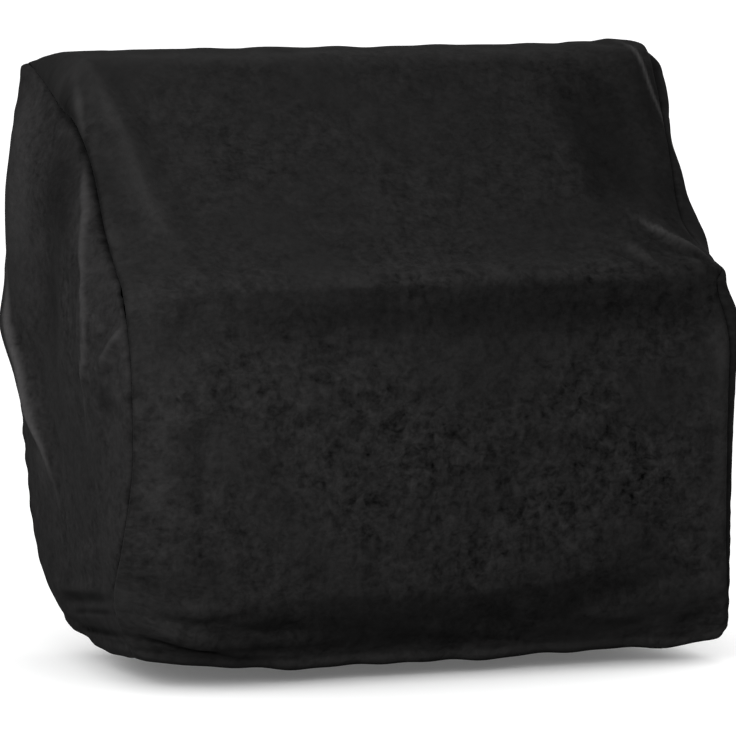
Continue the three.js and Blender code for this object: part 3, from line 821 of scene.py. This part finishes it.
# Stage
# A plain pale floor just under the hem and a white surround, in metres. A broad lamp close by at the upper
# left of the front, so that the light falls off to the right, one behind, two small ones for the floor
# beside the ends, and a soft light from above.
FLOOR_HEIGHT = -0.466
FLOOR_HALF = 30.0
WHITE = (1.0, 1.0, 1.0, 1.0)
BLACK = (0.0, 0.0, 0.0, 1.0)
FLOOR_BOUNCE = (0.75, 0.75, 0.75, 1.0)  # what the floor throws back at the cloth, while the camera sees white
FLOOR_GLOW = 0.12  # weak glow that only the camera sees, so that the shadow on the floor stays light
FLOOR_ROUGHNESS = 0.9
FLOOR_SPECULAR = 0.0
floor_mesh = bpy.data.meshes.new("floor")
floor_corners = [
    (x * FLOOR_HALF, y * FLOOR_HALF, FLOOR_HEIGHT) for x, y in ((-1, -1), (1, -1), (1, 1), (-1, 1))
]
floor_mesh.from_pydata(floor_corners, [], [(0, 1, 2, 3)])
floor = bpy.data.objects.new("floor", floor_mesh)
bpy.context.scene.collection.objects.link(floor)
floor_paint = bpy.data.materials.new("floor")
floor_paint.use_nodes = True
floor_tree = floor_paint.node_tree
floor_shader = floor_tree.nodes["Principled BSDF"]
floor_seen = add_node(floor_tree, "ShaderNodeLightPath").outputs["Is Camera Ray"]
for socket, unseen in (("Base Color", FLOOR_BOUNCE), ("Emission Color", BLACK)):
    shown = add_node(
        floor_tree, "ShaderNodeMix", {"data_type": "RGBA"}, _0=floor_seen, _6=unseen, _7=WHITE
    ).outputs[2]
    floor_tree.links.new(shown, floor_shader.inputs[socket])
floor_shader.inputs["Emission Strength"].default_value = FLOOR_GLOW
floor_shader.inputs["Roughness"].default_value = FLOOR_ROUGHNESS
floor_shader.inputs["Specular IOR Level"].default_value = FLOOR_SPECULAR
floor_mesh.materials.append(floor_paint)

SURROUND_SEEN = 1.0  # strength of the surround to the camera
SURROUND_LIGHT = 0.45  # strength of the light that it throws
world = bpy.data.worlds.new("white_surround")
world.use_nodes = True
bpy.context.scene.world = world
world_tree = world.node_tree
surround = world_tree.nodes["Background"]
surround.inputs["Color"].default_value = WHITE
seen = add_node(world_tree, "ShaderNodeLightPath").outputs["Is Camera Ray"]
surround_strength = add_node(
    world_tree, "ShaderNodeMapRange", _0=seen, _1=0.0, _2=1.0, _3=SURROUND_LIGHT, _4=SURROUND_SEEN
).outputs[0]
world_tree.links.new(surround_strength, surround.inputs["Strength"])


def point_at(thing, direction):
    """Turns a camera or light so that it looks along a direction, with the world's up kept upright."""
    thing.rotation_euler = Vector(direction).to_track_quat("-Z", "Y").to_euler()


cover_lit = bpy.data.collections.new("cover_lit")
for piece in (main_panel, left_end, right_end):
    cover_lit.objects.link(piece)
floor_lit = bpy.data.collections.new("floor_lit")
floor_lit.objects.link(floor)
# The lamps by name: place, aim, size, power and what they light.
LAMPS = [
    ["near_lamp", (-0.8, -0.95, 0.18), (0.0, -0.09, -0.23), 0.9, 45.0, cover_lit],
    ["back_lamp", (1.0, 1.2, 0.3), (0.0, 0.0, -0.23), 1.2, 90.0, cover_lit],
    ["floor_left", (-0.75, -0.15, -0.2), (-0.27, -0.05, FLOOR_HEIGHT), 0.5, 1.3, floor_lit],
    ["floor_right", (0.75, -0.2, -0.2), (0.27, -0.1, FLOOR_HEIGHT), 0.5, 1.5, floor_lit],
]
for name, place, aim, size, power, receivers in LAMPS:
    lamp = bpy.data.lights.new(name, "AREA")
    lamp.size = size
    lamp.energy = power
    lamp_object = bpy.data.objects.new(name, lamp)
    lamp_object.location = place
    lamp_object.visible_camera = False
    point_at(lamp_object, np.subtract(aim, place))
    bpy.context.scene.collection.objects.link(lamp_object)
    lamp_object.light_linking.receiver_collection = receivers

OVERHEAD_FROM = (-0.2, -0.3, 0.93)
OVERHEAD_STRENGTH = 2.2
OVERHEAD_SPREAD = 110.0  # degrees across the soft light
overhead = bpy.data.lights.new("overhead", "SUN")
overhead.energy = OVERHEAD_STRENGTH
overhead.angle = math.radians(OVERHEAD_SPREAD)
overhead_object = bpy.data.objects.new("overhead", overhead)
point_at(overhead_object, np.negative(OVERHEAD_FROM))
bpy.context.scene.collection.objects.link(overhead_object)

# Camera
# A long lens far off, a little left of the front and a little above, fitted with hem and top taken as level.
CAMERA_AZIMUTH = math.radians(20)
CAMERA_HEIGHT = math.radians(6)
CAMERA_DISTANCE = 3.9951
CAMERA_TARGET = np.array([-0.0102, -0.092, -0.2404])
LENS = 254.35
SENSOR = 36.0
camera_way = np.array([
    math.sin(CAMERA_AZIMUTH) * math.cos(CAMERA_HEIGHT),
    math.cos(CAMERA_AZIMUTH) * math.cos(CAMERA_HEIGHT),
    -math.sin(CAMERA_HEIGHT),
])
camera = bpy.data.cameras.new("camera")
camera.lens = LENS
camera.sensor_width = SENSOR
camera_object = bpy.data.objects.new("camera", camera)
camera_object.location = CAMERA_TARGET - camera_way * CAMERA_DISTANCE
point_at(camera_object, camera_way)
bpy.context.scene.collection.objects.link(camera_object)
bpy.context.scene.camera = camera_object
bpy.context.scene.view_settings.view_transform = "Standard"
